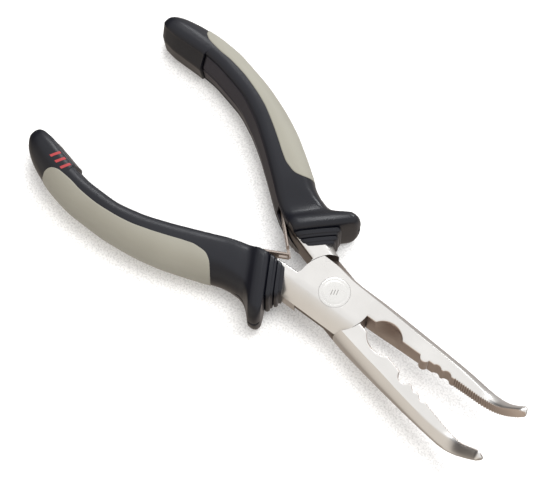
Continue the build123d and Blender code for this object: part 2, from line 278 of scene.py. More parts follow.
def span(nodes, links, source, low, high):
    """Maps the values that noise mostly takes to a range."""
    element = nodes.new("ShaderNodeMapRange")
    element.inputs["From Min"].default_value = 0.3
    element.inputs["From Max"].default_value = 0.7
    element.inputs["To Min"].default_value = low
    element.inputs["To Max"].default_value = high
    links.new(source, element.inputs["Value"])
    return element.outputs["Result"]


def multiply(nodes, links, first, second):
    """One colour times another."""
    element = nodes.new("ShaderNodeMix")
    element.data_type = "RGBA"
    element.blend_type = "MULTIPLY"
    element.inputs["Factor"].default_value = 1.0
    links.new(first, element.inputs["A"])
    links.new(second, element.inputs["B"])
    return element.outputs["Result"]


def halved(nodes, links, source, added=None):
    """Half of a value, plus another value if one is given."""
    element = nodes.new("ShaderNodeMath")
    element.operation = "MULTIPLY" if added is None else "MULTIPLY_ADD"
    element.inputs[1].default_value = 0.5
    links.new(source, element.inputs[0])
    if added is not None:
        links.new(added, element.inputs[2])
    return element.outputs["Value"]


def bumps(nodes, links, shader, layers):
    """Stacks bump layers. A layer is (height source, strength, distance in metres)."""
    last = None
    for height, strength, distance in layers:
        element = nodes.new("ShaderNodeBump")
        element.inputs["Strength"].default_value = strength
        element.inputs["Distance"].default_value = distance
        links.new(height, element.inputs["Height"])
        if last is not None:
            links.new(last, element.inputs["Normal"])
        last = element.outputs["Normal"]
    links.new(last, shader.inputs["Normal"])


# Colours by how sharply the surface turns: 0.5 is flat, more is an edge and less is a hollow.
EDGE_WEAR = [(0.5, (0, 0, 0)), (0.62, (0.3, 0.3, 0.3))]
# Painted shade: the hollows' colour below darkens them the way shade would.
HOLLOW_PAINTED_SHADE = [(0.40, (0.35, 0.32, 0.30)), (0.485, (1, 1, 1))]
EDGE_GAIN = 1.1                          # how much lighter a fully worn edge is


def steel_material(name, light, dark, roughness, grain=(1, 14, 14), grain_scale=420.0):
    """Satin metal: drawn grain, cloudy gloss, slightly worn edges and painted shade in hollows."""
    material, nodes, links, shader = new_material(name)
    shader.inputs["Metallic"].default_value = 1.0
    cloud = noise(nodes, links, 55.0, 4.0)
    turning = nodes.new("ShaderNodeNewGeometry").outputs["Pointiness"]
    worn = nodes.new("ShaderNodeMix")
    worn.data_type = "RGBA"
    worn.blend_type = "MIX"
    links.new(ramp(nodes, links, turning, EDGE_WEAR), worn.inputs["Factor"])
    links.new(ramp(nodes, links, cloud, [(0.3, dark), (0.7, light)]), worn.inputs["A"])
    worn.inputs["B"].default_value = (*(min(1, part * EDGE_GAIN) for part in light), 1)
    shade = ramp(nodes, links, turning, HOLLOW_PAINTED_SHADE)
    links.new(multiply(nodes, links, worn.outputs["Result"], shade), shader.inputs["Base Color"])
    grains = noise(nodes, links, grain_scale, 3.0, grain)
    mixed = halved(nodes, links, grains, halved(nodes, links, cloud))
    links.new(span(nodes, links, mixed, *roughness), shader.inputs["Roughness"])
    bumps(nodes, links, shader, [(grains, 0.2, 0.00001), (cloud, 0.1, 0.00004)])
    return material


def rubber_material(name, light, dark, roughness, sheen, pebble=2600.0, depth=0.00003):
    """Moulded rubber or plastic: fine pebble, faint flow marks and, if asked for, a soft sheen."""
    material, nodes, links, shader = new_material(name)
    flow = noise(nodes, links, 38.0, 4.0, (1, 1, 2.5))
    fine = noise(nodes, links, pebble, 2.0)
    colour = ramp(nodes, links, flow, [(0.28, dark), (0.72, light)])
    links.new(colour, shader.inputs["Base Color"])
    links.new(span(nodes, links, flow, *roughness), shader.inputs["Roughness"])
    shader.inputs["Sheen Weight"].default_value = sheen
    shader.inputs["Sheen Roughness"].default_value = 0.5
    shader.inputs["Specular IOR Level"].default_value = 0.34
    bumps(nodes, links, shader, [(fine, 0.35, depth), (flow, 0.25, 0.0002)])
    return material


def paint_material(name, colour, roughness):
    """Thin paint, with fine faded specks."""
    material, nodes, links, shader = new_material(name)
    wear = noise(nodes, links, 1800.0, 3.0)
    faded = tuple(0.72 * c + 0.01 for c in colour)
    links.new(ramp(nodes, links, wear, [(0.35, faded), (0.6, colour)]), shader.inputs["Base Color"])
    links.new(span(nodes, links, wear, roughness, roughness + 0.15), shader.inputs["Roughness"])
    bumps(nodes, links, shader, [(wear, 0.2, 0.00001)])
    return material


GROUND_GRAIN = (1, 1, 10)
TURNED_GRAIN = (3, 3, 3)
SPRING_GRAIN = (1, 1, 12)
FLOOR_GLOW = 0.12

steel = steel_material("satin_steel", (0.68, 0.665, 0.645), (0.62, 0.605, 0.585), (0.26, 0.36))
ground_steel = steel_material("ground_steel", (0.54, 0.46, 0.41), (0.42, 0.355, 0.315), (0.34, 0.46),
                              GROUND_GRAIN, 500.0)
rivet_steel = steel_material("turned_steel", (0.70, 0.69, 0.67), (0.65, 0.64, 0.62), (0.24, 0.34),
                             TURNED_GRAIN)
spring_steel = steel_material("spring_steel", (0.46, 0.40, 0.36), (0.34, 0.285, 0.25), (0.22, 0.34),
                              SPRING_GRAIN)
dark_rubber = rubber_material("dark_rubber", (0.0050, 0.0055, 0.0095), (0.0030, 0.0034, 0.0065),
                              (0.27, 0.38), 0.0)
core_plastic = rubber_material("core_plastic", (0.021, 0.0185, 0.027), (0.014, 0.0125, 0.0195),
                               (0.40, 0.52), 0.0, 3400.0, 0.00002)
pale_rubber = rubber_material("pale_rubber", (0.265, 0.256, 0.217), (0.235, 0.226, 0.19),
                              (0.5, 0.62), 0.04)
red_print = paint_material("red_print", (0.36, 0.03, 0.035), 0.5)
etch = paint_material("etched_dark", (0.13, 0.12, 0.115), 0.5)
# Painted shade: a dark steel for faces that lie in shade, such as the lap's floor and wall.
shade_steel = steel_material("painted_shade_steel", (0.22, 0.185, 0.165), (0.15, 0.125, 0.11), (0.36, 0.48),
                             GROUND_GRAIN, 500.0)
floor_paint = paint_material("floor_white", (0.93, 0.93, 0.93), 0.7)
floor_shader = floor_paint.node_tree.nodes["Principled BSDF"]
floor_shader.inputs["Emission Color"].default_value = (1, 1, 1, 1)
floor_shader.inputs["Emission Strength"].default_value = FLOOR_GLOW


# ---------------------------------- steel levers

# One lever is a grid of stations from the end of the tang to the tip of the jaw. At each station
# the steel lies between two edges in plan and between a bottom and a top point in side view.
EDGE_ROUND = 0.3
# Edges in plan as (place, y). The jaw's flat top ends at JAW_FLAT and curves down to JAW_SIDE.
TANG_INNER = [(-84, -18.2), (-70, -18.4), (-56, -15.6), (-42, -10.4), (-31.5, -5.2), (-22, -2.0),
              (-9, -1.3)]
TANG_OUTER = [(-84, -22.6), (-70, -23.8), (-56, -21.8), (-42, -17.4), (-30, -12.6), (-20, -9.8), (-13, -9.6),
              (14, -9.6)]
LOWER_TRIM = 1.0                         # how much less the lower half's head sticks out on that side
TRIM_FADE = (-15, -9)                    # where that trim comes in
JAW_SIDE = [(-13, 7.7), (5, 7.8), (11, 7.8), (19, 7.55), (27, 7.1), (34, 6.6), (42, 6.0), (49.6, 5.2),
            (55, 4.4), (59, 3.7), (63, 3.1), (68, 2.8), (74, 2.7)]
JAW_FLAT = [(-13, 7.5), (-5.6, 7.4), (2.9, 6.2), (12.6, 5.7), (20, 5.3), (28, 4.7), (35.5, 4.3), (43, 3.7),
            (49, 2.9), (53, 2.1), (56, 1.4), (59, 0.95), (63, 0.8), (74, 0.7)]
# Side view of the bent nose: place along the lever, then the top and the bottom point as (x, z).
NOSE = [(50.0, 50.0, 10.0, 50.0, 4.0), (52.5, 52.5, 10.06, 52.8, 4.15), (55.0, 54.9, 10.45, 55.9, 4.9),
        (57.5, 57.1, 11.35, 58.8, 6.5), (60.0, 59.1, 13.0, 61.3, 9.0), (63.0, 61.2, 15.9, 63.6, 12.3),
        (66.0, 63.0, 18.8, 65.6, 15.9), (69.0, 64.6, 21.4, 67.1, 19.3), (70.4, 65.3, 22.45, 67.75, 21.0)]
# Side view of the rest, as (place, z).
BOTTOM = [(-84, 1.5), (-27, 1.5), (-24, 0), (13, 0), (22, 1.0), (31, 1.9), (38, 2.7), (46, 3.7), (50, 4.0)]
TANG_TOP = [(-84, 8.5), (-27, 8.5), (-24, 10), (50, 10)]
TIP_PLACE = NOSE[-1][0]
TIP_ROUND = 1.5
TIP_CLOSING = 1.06                       # a little over 1, so the last station still has a size
TIP_CAP = 0.5                            # size of the closing ring, beside that last station
TIP_STEP = np.array([0.06, 0.0, 0.08])   # and its place from there
# Bevels as (width of crown in plan, drop) along the handle side of the head, on the lap face and
# on the other face.
LAP_BEVEL = (5.3, 3.2)
BACK_BEVEL = (2.4, 2.0)
BEVEL_POWER = 1.25
JAW_CROWN_DROP = 4.0
JAW_UNDER_DROP = 2.2
CROWN_FADE = (-9, 14)                    # the crown starts here and takes this long to grow
LEAST_FADE = 0.12
MOST_CROWN, MOST_DROP = 0.45, 0.49       # as shares of the thickness
TANG_WALL = -1.3                         # where the tang's inner wall meets the lap
UNDER_WALL = 3.0                         # how far under the jaw the shape of its wall dies out
WALL_BACK = 0.05
UPPER_SCOOP = (15.2, 25.0, 2.7)          # start, end and depth
LOWER_SCOOP = (15.6, 25.0, 2.15)
CUTTER_HEIGHT = 1.6
TOOTH_X, TOOTH_RADIUS, TOOTH_INSET, TOOTH_BOTTOM = 33.1, 1.55, 0.3, 2.4
POCKET_RADIUS = 2.3
POCKET_INSET = 0.45
CRIMP_HOLLOWS = ((37.8, 1.15), (41.2, 1.0))
CRIMP_RADIUS = 1.75
SERRATIONS = (43.6, 69.8)
SERRATION_PITCH = 0.76
SERRATION_DEPTH = 0.34


# Runs of stations outside the lap, as (start, end, step).
LEVER_RUNS = [(-84, -28, 2.0), (-28, -12.1, 0.5), (12.1, 31.0, 0.25), (31.0, SERRATIONS[0], 0.09),
              (SERRATIONS[0], TIP_PLACE, SERRATION_PITCH / 4)]
LAP_STATIONS = 90


def stations_of_lever():
    lap = LAP_RADIUS * np.cos(np.linspace(0, pi, LAP_STATIONS))
    return places_along(LEVER_RUNS, *lap, TIP_PLACE)


def side_points(place):
    """Top and bottom points, as (x, z), of the station at a place along the lever."""
    nose = smooth_table(NOSE, place)
    top = np.stack([place, smooth_table(TANG_TOP, place)[:, 0]], axis=-1)
    bottom = np.stack([place, smooth_table(BOTTOM, place)[:, 0]], axis=-1)
    bent = (place > NOSE[0][0])[:, None]
    return np.where(bent, nose[:, :2], top), np.where(bent, nose[:, 2:], bottom)


def inner_wall(place, height, upper):
    """How far the jaw's inner wall stands back from the gripping line, at each height z."""
    back = np.full_like(height, WALL_BACK)
    start, end, deepest = UPPER_SCOOP if upper else LOWER_SCOOP
    middle, half = (start + end) / 2, (end - start) / 2
    if start < place < end:
        arc_radius = (half**2 + deepest**2) / (2 * deepest)
        depth = sqrt(arc_radius**2 - (place - middle) ** 2) - (arc_radius - deepest)
        rise = np.clip((height - CUTTER_HEIGHT) / (JOINT_THICK - CUTTER_HEIGHT), 0, 1)
        back = back + depth * rise
    if upper and abs(place - TOOTH_X) < TOOTH_RADIUS:
        reach = sqrt(TOOTH_RADIUS**2 - (place - TOOTH_X) ** 2) - TOOTH_INSET
        back = np.where(height > TOOTH_BOTTOM, -reach, back) if reach > 0 else back
    if not upper and abs(place - TOOTH_X) < POCKET_RADIUS:
        back = back + max(0.0, sqrt(POCKET_RADIUS**2 - (place - TOOTH_X) ** 2) - POCKET_INSET)
    for centre, inset in CRIMP_HOLLOWS:
        if abs(place - centre) < CRIMP_RADIUS:
            back = back + max(0.0, sqrt(CRIMP_RADIUS**2 - (place - centre) ** 2) - inset)
    if SERRATIONS[0] < place < SERRATIONS[1]:
        phase = (place - SERRATIONS[0]) / SERRATION_PITCH % 1.0
        back = back + SERRATION_DEPTH * (1 - abs(2 * phase - 1))
    return back


def crown_drop(distance, width, drop):
    """Drop of a convex bevel at a distance outwards from its inner edge."""
    t = np.clip(distance / width, 0, 1)
    return drop * (1 - (1 - t**BEVEL_POWER) ** (1 / BEVEL_POWER))


def lever_ring(place, top, bottom, upper):
    """One closed section of the lever: up the low-Y wall, over the top, down the high-Y wall."""
    in_jaw = place > LAP_RADIUS
    on_lap = abs(place) <= LAP_RADIUS
    on_tang = place <= -LAP_RADIUS
    reach = sqrt(max(0.0, LAP_RADIUS**2 - place**2))
    thick = float(np.hypot(*(top - bottom)))
    side_y = float(smooth_table(JAW_SIDE, place)[0, 0])
    outer = float(smooth_table(TANG_OUTER, place)[0, 0])
    if not upper:
        outer += LOWER_TRIM * float(smooth_step(place, *TRIM_FADE))
    low = float(inner_wall(place, np.array([JOINT_THICK]), upper)[0]) if in_jaw else outer
    high = side_y
    if on_lap:
        low = max(outer, -reach) if place > 0 else outer
        high = side_y if place > 0 else min(side_y, max(reach, TANG_WALL))
    if place < -LAP_RADIUS:
        high = float(smooth_table(TANG_INNER, place)[0, 0])
    if on_tang:
        flat_high, crown = high - EDGE_ROUND, EDGE_ROUND
    else:
        flat_high = min(high, float(smooth_table(JAW_FLAT, place)[0, 0]))
        crown = max(high, side_y) - flat_high

    def rim(bevel, jaw_drop):
        """Plan positions and drops of one face of the steel, from its low-Y to its high-Y edge."""
        width, drop = bevel if not in_jaw else (EDGE_ROUND, EDGE_ROUND * 0.6)
        start_low = (outer if not in_jaw else low) + width
        flat_low = min(max(low, start_low), flat_high)
        y = np.concatenate([np.linspace(low, flat_low, 13), np.linspace(flat_low, flat_high, 7)[1:],
                            np.linspace(flat_high, high, 13)[1:]])
        fall = crown_drop(start_low - y, width, drop)
        fade = 1.0 if on_tang else np.clip((place - CROWN_FADE[0]) / CROWN_FADE[1], LEAST_FADE, 1)
        crown_fall = min((EDGE_ROUND if on_tang else jaw_drop) * fade, MOST_CROWN * thick)
        fall = fall + crown_drop(y - flat_high, max(crown, 1e-6), crown_fall)
        return y, np.minimum(fall, MOST_DROP * thick)

    y_top, fall = rim(LAP_BEVEL if upper else BACK_BEVEL, JAW_CROWN_DROP)
    y_under, lift = rim(BACK_BEVEL if upper else LAP_BEVEL, JAW_UNDER_DROP)
    wall = np.linspace(0, 1, 10)[1:-1]
    wall_heights = lift[0] + (thick - fall[0] - lift[0]) * wall
    wall_y = np.full(len(wall), low)
    if in_jaw:
        wall_y = inner_wall(place, bottom[1] + wall_heights, upper)
        foot = inner_wall(place, np.array([0.0]), upper)[0]
        y_under = y_under + (foot - low) * np.clip(1 - (y_under - low) / UNDER_WALL, 0, 1)
    far_wall = np.linspace(1, 0, 6)[1:-1]
    far_heights = lift[-1] + (thick - fall[-1] - lift[-1]) * far_wall
    y = np.concatenate([wall_y, y_top, np.full(len(far_wall), high), y_under[::-1]])
    v = np.concatenate([wall_heights, thick - fall, far_heights, lift[::-1]]) / thick
    xz = bottom + (top - bottom) * v[:, None]
    return np.stack([xz[:, 0], y, xz[:, 1]], axis=-1)


def ground_faces(piece, side):
    """Gives the ground inner walls of the jaws the second material, and the third, a dark steel that paints
    shade, to the lap's floor and wall, the inner wall of the tang and the low side of the lower half's head."""
    turn = side * HALF_OPENING
    inward = Vector((sin(turn), -cos(turn), 0)) * side
    for face in piece.data.polygons:
        along = (face.center.x * cos(turn) + face.center.y * sin(turn)) / MM
        across = side * (-face.center.x * sin(turn) + face.center.y * cos(turn)) / MM
        radius = (along**2 + across**2) ** 0.5
        facing, upright = face.normal.dot(inward), abs(face.normal.z)
        jaw_wall = along > LAP_RADIUS - 0.2 and across < 3.2 and facing > 0.45
        tang_wall = along < -9 and -9 < across < 0 and facing < -0.7
        lap_wall = upright < 0.3 and radius < LAP_RADIUS + 0.3
        lap_floor = abs(face.center.z / MM - MID_Z) < 0.1 and upright > 0.9
        low_side = side < 0 and face.center.z < MID_Z * MM and upright < 0.7
        head_side = low_side and 7.4 < radius < LAP_RADIUS + 0.3
        # These faces lie in shade and get the painted shade steel.
        shaded = tang_wall or lap_wall or lap_floor or head_side
        face.material_index = 2 if shaded else 1 if jaw_wall else 0


def make_lever(half, side):
    upper = side > 0
    places = stations_of_lever()
    tops, bottoms = side_points(places)
    rings = [lever_ring(p, t, b, upper) for p, t, b in zip(places, tops, bottoms)]
    for number, place in enumerate(places):
        share = (place - TIP_PLACE + TIP_ROUND) / (TIP_ROUND * TIP_CLOSING)
        if share > 0:
            centre = rings[number].mean(axis=0)
            rings[number] = centre + (rings[number] - centre) * sqrt(1 - share**2)
    centre = rings[-1].mean(axis=0)
    rings.append(centre + (rings[-1] - centre) * TIP_CAP + TIP_STEP)
    lever = solid(f"{half}_forged_lever", rings, side, 30)
    if upper:
        recess, head = (-CLEAR, MID_Z + FACE_GAP), (JOINT_THICK - HEAD_DEPTH, JOINT_THICK + CLEAR)
    else:
        recess, head = (MID_Z - FACE_GAP, JOINT_THICK + CLEAR), (-CLEAR, HEAD_DEPTH)
    cut(lever, cylinder("recess", LAP_RADIUS + LAP_GAP, *recess, 128))
    cut(lever, cylinder("head_hole", RIVET_HEAD + FACE_GAP, *head))
    tidy(lever, 30)
    finish_piece(lever, f"{half}_half", "steel", [steel, ground_steel, shade_steel], f"{half}_lever")
    ground_faces(lever, side)


# ---------------------------------- pivot rivet

RIVET_RING = 3.9
RIVET_TOP = 10.02
RIVET_SHANK = 3.0
HEAD_SEATS = (1.4, 8.6)                  # heights of the heads' inner faces
# The rivet's outline as (radius, z), from the middle of its top to the middle of its bottom.
RIVET_PROFILE = [(0.05, RIVET_TOP), (1.0, RIVET_TOP), (2.0, RIVET_TOP), (3.0, RIVET_TOP),
                 (RIVET_RING - 0.1, RIVET_TOP), (RIVET_RING, 10.0), (RIVET_RING + 0.1, RIVET_TOP),
                 (RIVET_HEAD - 0.12, 10.0), (RIVET_HEAD - 0.03, 9.97), (RIVET_HEAD, 9.88),
                 (RIVET_HEAD, HEAD_SEATS[1]), (RIVET_SHANK, HEAD_SEATS[1]),
                 (RIVET_SHANK, HEAD_SEATS[0]), (RIVET_HEAD, HEAD_SEATS[0]), (RIVET_HEAD, 0.22),
                 (RIVET_HEAD - 0.05, 0.07), (RIVET_HEAD - 0.2, 0.0), (0.05, 0.0)]
# One etched stroke in plan, before it is shifted and the three are turned together.
STROKE = np.array([(-0.4, -0.8), (-0.22, -0.8), (0.4, 0.8), (0.22, 0.8)])
STROKE_PITCH = 0.85
STROKE_TOP = 10.04
STROKE_TURN = radians(38)


def make_pivot():
    """A turned rivet with flush heads, each with a broken edge, and a shallow ring in the top one."""
    rivet = solid("joint_rivet", [circle(r, z) for r, z in RIVET_PROFILE], 1, 25)
    finish_piece(rivet, "upper_half", "rivet_steel", [rivet_steel], "pivot_rivet")
    strokes = []
    for number in range(3):
        corners = STROKE + np.array([STROKE_PITCH * (number - 1), 0.0])
        strokes.append(prism(f"stroke_{number}", corners, RIVET_TOP, STROKE_TOP, 1))
    mark = join(strokes, "rivet_etched_strokes")
    mark.data.transform(Matrix.Rotation(STROKE_TURN, 4, "Z"))
    finish_piece(mark, "upper_half", "rivet_steel", [etch])


# ---------------------------------- leaf springs

LEAF_ROOT = np.array([-31.0, -4.3])
LEAF_REACH = 19.0
LEAF_THICK = 0.8
LEAF_LOW, LEAF_HIGH = 3.0, 7.0
RIBBON_EDGE = 0.15
FOOT_START = np.array([-31.5, -5.2])
FOOT_END = np.array([-39.6, -9.2])
FORK_SLOT = 1.8
TONGUE = 1.0
TONGUE_EXTRA = 0.6                       # how much longer the lower half's leaf is
TIP_LENGTH = 3.2
FOOT_SHARE = 0.92                        # how much of the foot is flat, before the bend
BEND_REACH = 0.9
LEAF_START = 0.55                        # where the bend ends, from the leaf's root


def ribbon(path, low, high, thick, name, side):
    """A strip bent along a path in plan, with broken edges."""
    path = np.asarray(path, float)
    along = np.gradient(path, axis=0)
    along /= np.linalg.norm(along, axis=1)[:, None]
    across = np.stack([-along[:, 1], along[:, 0]], axis=-1)
    half, edge = thick / 2, RIBBON_EDGE
    outline = [(-half, low + edge), (-half + edge, low), (half - edge, low), (half, low + edge),
               (half, high - edge), (half - edge, high), (-half + edge, high), (-half, high - edge)]
    rings = []
    for point, normal in zip(path, across):
        rings.append([(point[0] + normal[0] * d, point[1] + normal[1] * d, z) for d, z in outline])
    return solid(name, rings, side, 40)


def make_spring(half, side):
    """A riveted foot, a bend and a leaf. The upper leaf's forked end takes the lower one's tongue."""
    tip = LEAF_REACH * np.array([-cos(HALF_OPENING), sin(HALF_OPENING)])
    run = (tip - LEAF_ROOT) / np.linalg.norm(tip - LEAF_ROOT)
    length = float(np.linalg.norm(tip - LEAF_ROOT)) + (TONGUE_EXTRA if side < 0 else 0.0)
    seat = (FOOT_END - FOOT_START) / np.linalg.norm(FOOT_END - FOOT_START)
    lift = np.array([seat[1], -seat[0]]) * LEAF_THICK / 2
    foot = [FOOT_END + lift - (FOOT_END - FOOT_START) * t for t in np.linspace(0, FOOT_SHARE, 12)]
    leaf = [LEAF_ROOT + run * d for d in np.linspace(LEAF_START, length, 34)]
    start, end = foot[-1], leaf[0]
    corner = start + (start - foot[-2]) / np.linalg.norm(start - foot[-2]) * BEND_REACH
    bend = [(1 - t) ** 2 * start + 2 * t * (1 - t) * corner + t**2 * end
            for t in np.linspace(0, 1, 9)[1:-1]]
    strip = ribbon(foot + bend + leaf, LEAF_LOW, LEAF_HIGH, LEAF_THICK, f"{half}_spring_strip", side)
    tip_start = LEAF_ROOT + run * (length - TIP_LENGTH)
    tip_end = LEAF_ROOT + run * (length + CLEAR)
    normal = np.array([-run[1], run[0]])
    corners = [tip_start - normal, tip_end - normal, tip_end + normal, tip_start + normal]
    if side > 0:
        bands = [(MID_Z - FORK_SLOT / 2, MID_Z + FORK_SLOT / 2)]
    else:
        bands = [(MID_Z + TONGUE / 2, LEAF_HIGH + CLEAR), (LEAF_LOW - CLEAR, MID_Z - TONGUE / 2)]
    for low, high in bands:
        cut(strip, prism("tip_cut", corners, low, high, side))
    tidy(strip, 40)
    finish_piece(strip, None, "spring_steel", [spring_steel], f"{half}_spring_foot",
                 f"{half}_leaf_spring")
    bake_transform(strip)


# ---------------------------------- grips

# The guard's own frame starts at its front inner corner. One axis runs out along the collars and
# one runs back along the grip.
GUARD_CORNER = np.array([-16.7, -2.2])
GUARD_ANGLE = radians(31)
GUARD_OUT = np.array([sin(GUARD_ANGLE), -cos(GUARD_ANGLE)])
GUARD_BACK = np.array([-cos(GUARD_ANGLE), -sin(GUARD_ANGLE)])

# Guard stations: distance back, inner and outer reach, top, bottom, crease inset, width of the
# outer round, and how square that round is.
GUARD_ROWS = [
    (0.0, -0.4, 8.3, 9.9, 0.0, 0.5, 1.6, 3.6),
    (0.2, -0.6, 8.9, 10.3, -0.5, 0.5, 1.8, 4.4),
    (1.0, -1.1, 9.1, 10.4, -0.6, 0.5, 1.8, 4.4),
    (1.2, -1.3, 9.8, 10.7, -1.1, 0.5, 2.0, 4.4),
    (2.3, -2.0, 10.1, 10.8, -1.2, 0.5, 2.0, 4.4),
    (2.5, -2.2, 9.5, 10.4, -0.8, 0.5, 2.0, 3.6),
    (2.7, -2.3, 10.3, 11.0, -2.0, 0.5, 2.0, 4.0),
    (3.3, -2.6, 10.5, 11.2, -2.3, 0.5, 2.0, 4.4),
    (3.5, -2.8, 11.0, 11.5, -2.8, 0.5, 2.2, 4.4),
    (4.7, -3.4, 11.3, 11.6, -2.9, 0.5, 2.2, 4.4),
    (4.95, -3.6, 11.0, 11.1, -2.5, 0.5, 2.4, 3.6),
    (5.2, -3.75, 13.6, 11.9, -3.6, 0.6, 2.8, 3.2),
    (5.6, -3.9, 16.4, 12.4, -4.5, 0.7, 3.2, 3.0),
    (6.6, -4.3, 17.5, 12.8, -4.9, 0.8, 3.6, 2.8),
    (8.0, -4.9, 17.6, 12.6, -4.9, 0.8, 3.8, 2.6),
    (9.2, -5.3, 17.0, 12.2, -4.8, 0.8, 4.0, 2.4),
    (9.9, -5.6, 14.8, 11.7, -4.7, 0.9, 4.2, 2.3),
    (10.7, -5.9, 12.2, 11.2, -4.6, 0.9, 4.4, 2.3),
    (11.8, -6.2, 10.2, 10.9, -4.6, 0.9, 4.6, 2.3),
    (13.4, -6.7, 8.7, 10.8, -4.6, 0.9, 4.6, 2.3),
    (15.5, -7.2, 7.5, 10.9, -4.6, 0.9, 4.8, 2.3),
    (18.5, -7.8, 6.3, 11.2, -4.7, 1.0, 5.2, 2.3),
]
# Grip stations: distance back, inner ridge and outer side as (x, y), then the same columns.
GRIP_ROWS = [
    (23.0, -39.9, -6.5, -35.2, -19.4, 11.5, -4.8, 1.1, 5.6, 2.3),
    (30.0, -46.4, -9.2, -42.2, -22.0, 11.7, -4.8, 1.2, 6.2, 2.3),
    (38.0, -53.6, -11.8, -50.4, -24.6, 11.8, -4.8, 1.4, 6.6, 2.3),
    (47.0, -62.0, -14.0, -60.4, -26.5, 11.8, -4.8, 1.8, 6.8, 2.3),
    (56.0, -71.0, -15.2, -70.4, -27.3, 11.8, -4.8, 2.0, 6.8, 2.3),
    (65.0, -79.8, -15.1, -80.0, -27.2, 11.8, -4.8, 2.0, 6.8, 2.3),
    (73.0, -87.6, -14.1, -88.4, -26.0, 11.8, -4.8, 2.0, 6.4, 2.3),
    (80.0, -94.3, -12.6, -95.8, -23.8, 11.7, -4.8, 1.8, 5.6, 2.3),
    (85.0, -98.9, -11.7, -100.2, -21.9, 11.5, -4.7, 1.6, 4.8, 2.3),
    (88.4, -101.8, -11.6, -102.8, -20.4, 11.1, -4.6, 1.4, 4.0, 2.3),
    (90.6, -103.7, -12.1, -104.4, -19.1, 10.4, -4.2, 1.1, 3.3, 2.3),
    (92.2, -105.0, -13.1, -105.4, -17.9, 9.1, -3.2, 0.8, 2.2, 2.2),
    (93.2, -105.8, -14.5, -106.0, -16.7, 7.0, -1.1, 0.4, 1.0, 2.0),
    (93.6, -106.1, -15.4, -106.1, -15.9, 5.2, 1.6, 0.1, 0.2, 2.0),
]
STRIP_START, STRIP_END = 8.0, 72.4       # the hard inner strip, by distance back
STRIP_RECESS = 0.75
TOP_CROWN = 0.07                         # how much a section loses in height towards its sides
LOW_CREASE = 0.4                         # the crease underneath, as a share of the one on top
FACET_POINTS = 8                         # on the face between the inner ridge and a crease
END_STEP = 0.75                          # how far the grip's end stands prouder than the inner strip
# The inlay's edge on top of the grip, as (x, y).
INLAY_EDGE = [(-94.2, -27.4), (-94.4, -25.4), (-93.8, -23.3), (-92.3, -21.4), (-89.6, -20.6),
              (-85, -20.9), (-80, -21.7), (-74, -22.0), (-68, -21.6), (-62, -20.7), (-56, -19.0),
              (-50, -16.9), (-45, -15.0), (-41.5, -14.0), (-38.5, -13.9), (-35.8, -15.0),
              (-33.6, -17.2), (-32.2, -19.2)]
INLAY_LIFT = 0.18
GROOVE = 0.5                             # depth of the moulded parting line round the guard
GROOVE_WIDTH = 0.45
GROOVE_START, GROOVE_END = (5.4, 6.2), (12, 15)
STEP_RISE = (24, 60)                     # where along the grip END_STEP grows
ROLL, ROLL_DROP = 2.6, 1.0               # most width and drop of the rounded edge beside a crease
CROWN_PEAK = 0.45                        # where across a section it is highest
EDGE_SINK = 0.35                         # how far a patch's edge dips in, as a share of its depth
INLAY_DEPTH, INLAY_ROUND = 0.9, 0.35
STRIP_DEPTH, STRIP_ROUND = 1.4, 0.5
SEAM_WIDTH, SEAM_HEIGHT = 0.4, 0.8       # the moulded seam along the inner strip
SEAM_RISE = (46, 64)
GRIP_END = GRIP_ROWS[-1][0]
# Runs of stations along the grip and along its inner strip, as (start, end, step).
GRIP_RUNS = [(0, 7.5, 0.12), (7.5, 19, 0.3), (19, 70, 0.8), (70, 75, 0.12), (75, 88, 0.7),
             (88, GRIP_END, 0.3)]
STRIP_RUNS = [(STRIP_START + 0.3, STRIP_START + 1.5, 0.1), (STRIP_START + 1.5, STRIP_END - 1.6, 0.7),
              (STRIP_END - 1.6, STRIP_END - 0.35, 0.1)]


def grip_table():
    """All stations of one grip: place, inner x y, outer x y, top, bottom, crease, round, power."""
    rows = []
    for back, inner, outer, *rest in GUARD_ROWS:
        start = GUARD_CORNER + GUARD_OUT * inner + GUARD_BACK * back
        end = GUARD_CORNER + GUARD_OUT * outer + GUARD_BACK * back
        rows.append((back, *start, *end, *rest))
    return np.array(rows + [tuple(row) for row in GRIP_ROWS])


GRIP_TABLE = grip_table()


